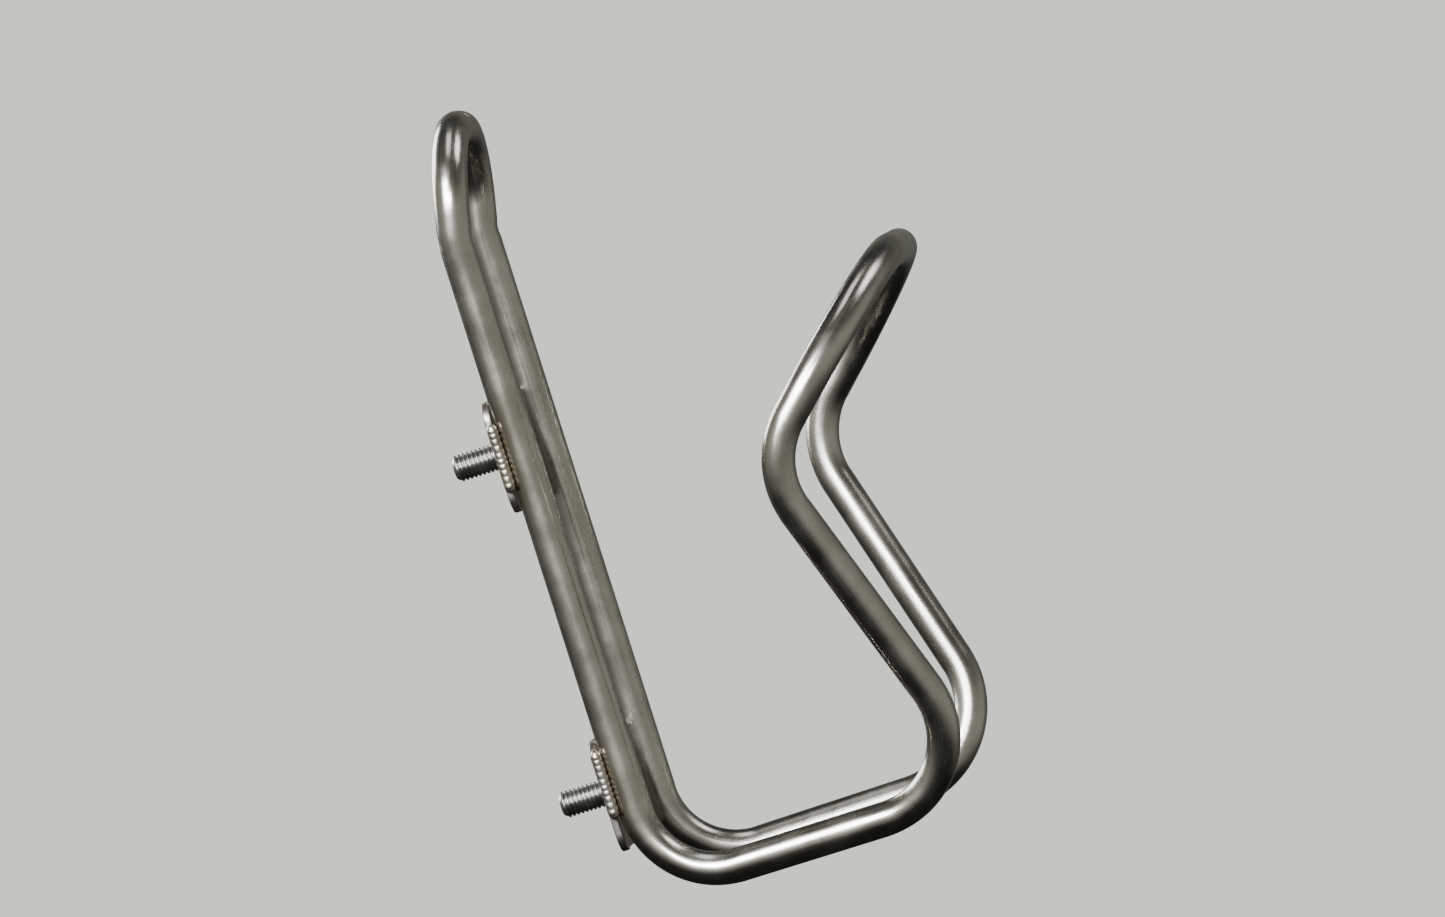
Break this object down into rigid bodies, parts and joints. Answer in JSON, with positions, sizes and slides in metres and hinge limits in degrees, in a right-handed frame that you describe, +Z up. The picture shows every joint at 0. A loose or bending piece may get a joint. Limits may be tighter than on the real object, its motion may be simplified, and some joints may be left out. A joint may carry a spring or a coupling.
{
  "type": "water bottle cage",
  "caption": "Bent-tube bicycle bottle cage: one looped metal tube forms the hoop, rails, base, arms and nose arch, held by plates bolted behind the rails.",
  "frame": {"origin": "midway between the two bolt axes, on the plane of the mount plates' back faces", "axes": "+Z up the rails towards the hoop, +Y out of the plates' back faces towards the bicycle frame, X the cage's width; the bottle side faces -Y and X = 0 is the plane of symmetry"},
  "size_m": [0.0854, 0.0915, 0.1478],
  "materials": {
    "tube": "satin",
    "plate": "satin",
    "weld": "satin",
    "washer": "satin",
    "bolt": "satin"
  },
  "bodies": {
    "cage": {"cage_tube": "tube", "tube_butt_weld": "weld", "upper_mount_plate": "plate", "lower_mount_plate": "plate", "upper_left_weld": "weld", "upper_right_weld": "weld", "lower_left_weld": "weld", "lower_right_weld": "weld"},
    "upper_washer": {"upper_washer": "washer"},
    "upper_bolt": {"upper_bolt": "bolt"},
    "lower_washer": {"lower_washer": "washer"},
    "lower_bolt": {"lower_bolt": "bolt"}
  },
  "joints": [
    {"name": "upper_bolt_travel", "type": "slide", "parent": "cage", "child": "upper_washer", "axis": [0, -1, 0], "range_m": [0, 0.0096]},
    {"name": "upper_bolt_turn", "type": "hinge", "parent": "upper_washer", "child": "upper_bolt", "pos_m": [0, -0.0023, 0.032], "axis": [0, -1, 0], "range_deg": [0, 4340]},
    {"name": "lower_bolt_travel", "type": "slide", "parent": "cage", "child": "lower_washer", "axis": [0, -1, 0], "range_m": [0, 0.0096]},
    {"name": "lower_bolt_turn", "type": "hinge", "parent": "lower_washer", "child": "lower_bolt", "pos_m": [0, -0.0023, -0.032], "axis": [0, -1, 0], "range_deg": [0, 4340]}
  ],
  "couplings": [
    {"joint": "upper_bolt_turn", "follows": "upper_bolt_travel", "rad_per_m": 7854},
    {"joint": "lower_bolt_turn", "follows": "lower_bolt_travel", "rad_per_m": 7854}
  ]
}
